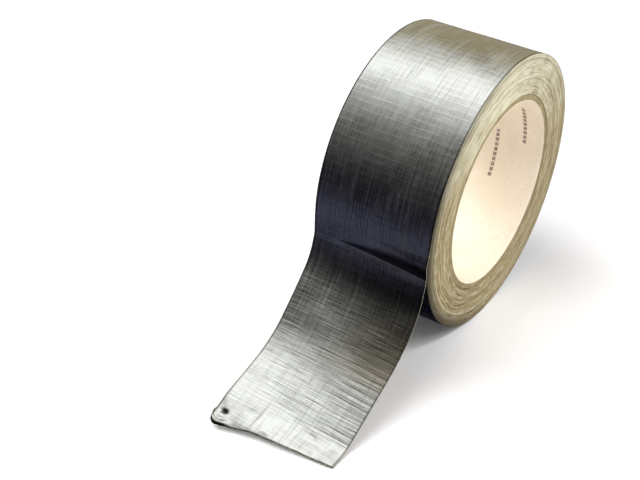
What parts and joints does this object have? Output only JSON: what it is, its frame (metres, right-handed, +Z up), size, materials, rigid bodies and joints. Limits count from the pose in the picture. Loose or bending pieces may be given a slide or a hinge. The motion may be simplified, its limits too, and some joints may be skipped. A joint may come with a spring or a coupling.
{
  "type": "duct tape roll",
  "caption": "Roll of silver cloth-backed adhesive tape on a card core, its loose end peeled off the front and free to bend.",
  "frame": {"origin": "centre of the core's bore, half way along it", "axes": "+X along the core's axis, +Z up with the roll standing on its curved side, loose end towards -Y"},
  "size_m": [0.05, 0.178, 0.1138],
  "materials": {
    "liner_paper": "matte",
    "core_board": "matte",
    "kraft_paper": "matte",
    "wound_tape": "matte",
    "silver_film": "satin",
    "scrim_yarn": "matte",
    "adhesive": "satin"
  },
  "bodies": {
    "roll": {"core_liner": "liner_paper", "core_card_ply_1": "core_board", "core_card_ply_2": "core_board", "core_card_ply_3": "core_board", "core_outer_ply": "kraft_paper", "wound_turns_1": "wound_tape", "wound_turns_2": "wound_tape", "wound_turns_3": "wound_tape", "wound_turns_4": "wound_tape", "wound_turns_5": "wound_tape", "wound_turns_6": "wound_tape"},
    "lap": {"lap_film": "silver_film", "lap_weft_yarns": "scrim_yarn", "lap_warp_yarns": "scrim_yarn", "lap_adhesive": "adhesive"},
    "tail_1": {"tail_1_film": "silver_film", "tail_1_weft_yarns": "scrim_yarn", "tail_1_warp_yarns": "scrim_yarn", "tail_1_adhesive": "adhesive"},
    "tail_2": {"tail_2_film": "silver_film", "tail_2_weft_yarns": "scrim_yarn", "tail_2_warp_yarns": "scrim_yarn", "tail_2_adhesive": "adhesive"},
    "tail_3": {"tail_3_film": "silver_film", "tail_3_weft_yarns": "scrim_yarn", "tail_3_warp_yarns": "scrim_yarn", "tail_3_adhesive": "adhesive"},
    "tail_4": {"tail_4_film": "silver_film", "tail_4_weft_yarns": "scrim_yarn", "tail_4_warp_yarns": "scrim_yarn", "tail_4_adhesive": "adhesive"},
    "tail_5": {"tail_5_film": "silver_film", "tail_5_weft_yarns": "scrim_yarn", "tail_5_warp_yarns": "scrim_yarn", "tail_5_adhesive": "adhesive"}
  },
  "joints": [
    {"name": "unwind", "type": "hinge", "parent": "roll", "child": "lap", "pos_m": [0, 0, 0], "axis": [-1, 0, 0], "continuous": true},
    {"name": "peel_bend", "type": "hinge", "parent": "lap", "child": "tail_1", "pos_m": [0, -0.05666, -0.00796], "axis": [-1, 0, 0], "range_deg": [-40, 95]},
    {"name": "tail_bend_1", "type": "hinge", "parent": "tail_1", "child": "tail_2", "pos_m": [0, -0.0657, -0.02117], "axis": [-1, 0, 0], "range_deg": [-23, 20]},
    {"name": "tail_bend_2", "type": "hinge", "parent": "tail_2", "child": "tail_3", "pos_m": [0, -0.07669, -0.03279], "axis": [-1, 0, 0], "range_deg": [-28, 16]},
    {"name": "tail_bend_3", "type": "hinge", "parent": "tail_3", "child": "tail_4", "pos_m": [0, -0.09017, -0.04142], "axis": [-1, 0, 0], "range_deg": [-19, 25]},
    {"name": "tail_bend_4", "type": "hinge", "parent": "tail_4", "child": "tail_5", "pos_m": [0, -0.10435, -0.04883], "axis": [-1, 0, 0], "range_deg": [-15, 28]}
  ]
}
